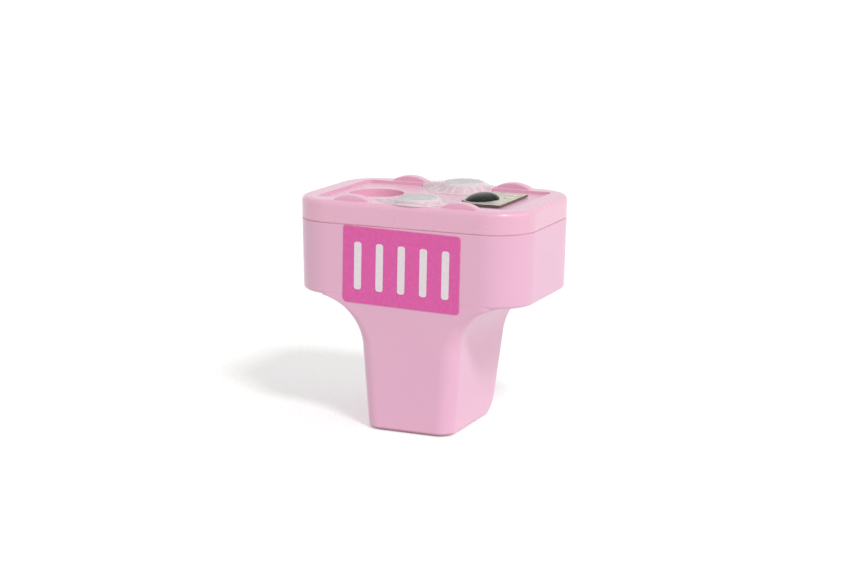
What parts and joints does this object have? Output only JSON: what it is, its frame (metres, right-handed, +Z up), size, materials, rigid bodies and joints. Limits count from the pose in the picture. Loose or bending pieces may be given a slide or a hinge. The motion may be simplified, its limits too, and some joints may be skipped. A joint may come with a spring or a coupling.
{
  "type": "inkjet ink cartridge",
  "caption": "T-shaped ink cartridge: a wide head with sealed valve ports and a memory chip on its lid, above a narrow tapering grip.",
  "frame": {"origin": "centre of the head seen from above, on the plane that the grip stands on", "axes": "+Z up from the grip's base to the lid, +X along the head's width with the chip at +X, -Y out of the labelled front"},
  "size_m": [0.0462, 0.031, 0.0439],
  "materials": {
    "tank_plastic": "satin moulded plastic, light magenta",
    "lid_plastic": "satin moulded plastic, light magenta",
    "label_film": "printed film, magenta with white bars",
    "plug_plastic": "soft moulded plastic",
    "board_laminate": "cream solder resist, dark cut edges",
    "adhesive_pad": "double-sided tape",
    "chip_resin": "black epoxy",
    "contact_metal": "thin gold plate",
    "septum_rubber": "pale grey elastomer",
    "ball_steel": "polished stainless steel",
    "spring_steel": "stainless steel wire",
    "retainer_plastic": "natural moulded plastic",
    "filter_mesh": "fine woven stainless mesh",
    "port_film": "clear peel-off film"
  },
  "bodies": {
    "housing": {"tank_shell": "tank_plastic", "port_lid": "lid_plastic", "front_label": "label_film", "fill_plug": "plug_plastic", "chip_board": "board_laminate", "chip_adhesive": "adhesive_pad", "chip_encapsulant": "chip_resin", "chip_contacts": "contact_metal", "front_septum": "septum_rubber", "rear_septum": "septum_rubber", "front_valve_spring": "spring_steel", "rear_valve_spring": "spring_steel", "front_spring_retainer": "retainer_plastic", "rear_spring_retainer": "retainer_plastic", "front_port_filter": "filter_mesh", "rear_port_filter": "filter_mesh", "front_port_film": "port_film", "rear_port_film": "port_film"},
    "front_valve": {"front_valve_ball": "ball_steel"},
    "rear_valve": {"rear_valve_ball": "ball_steel"}
  },
  "joints": [
    {"name": "front_valve_travel", "type": "slide", "parent": "housing", "child": "front_valve", "axis": [0, 0, -1], "range_m": [0, 0.002], "stiffness_N_per_m": 60, "springref_m": -0.003, "deforming": ["front_valve_spring"]},
    {"name": "rear_valve_travel", "type": "slide", "parent": "housing", "child": "rear_valve", "axis": [0, 0, -1], "range_m": [0, 0.002], "stiffness_N_per_m": 60, "springref_m": -0.003, "deforming": ["rear_valve_spring"]}
  ]
}
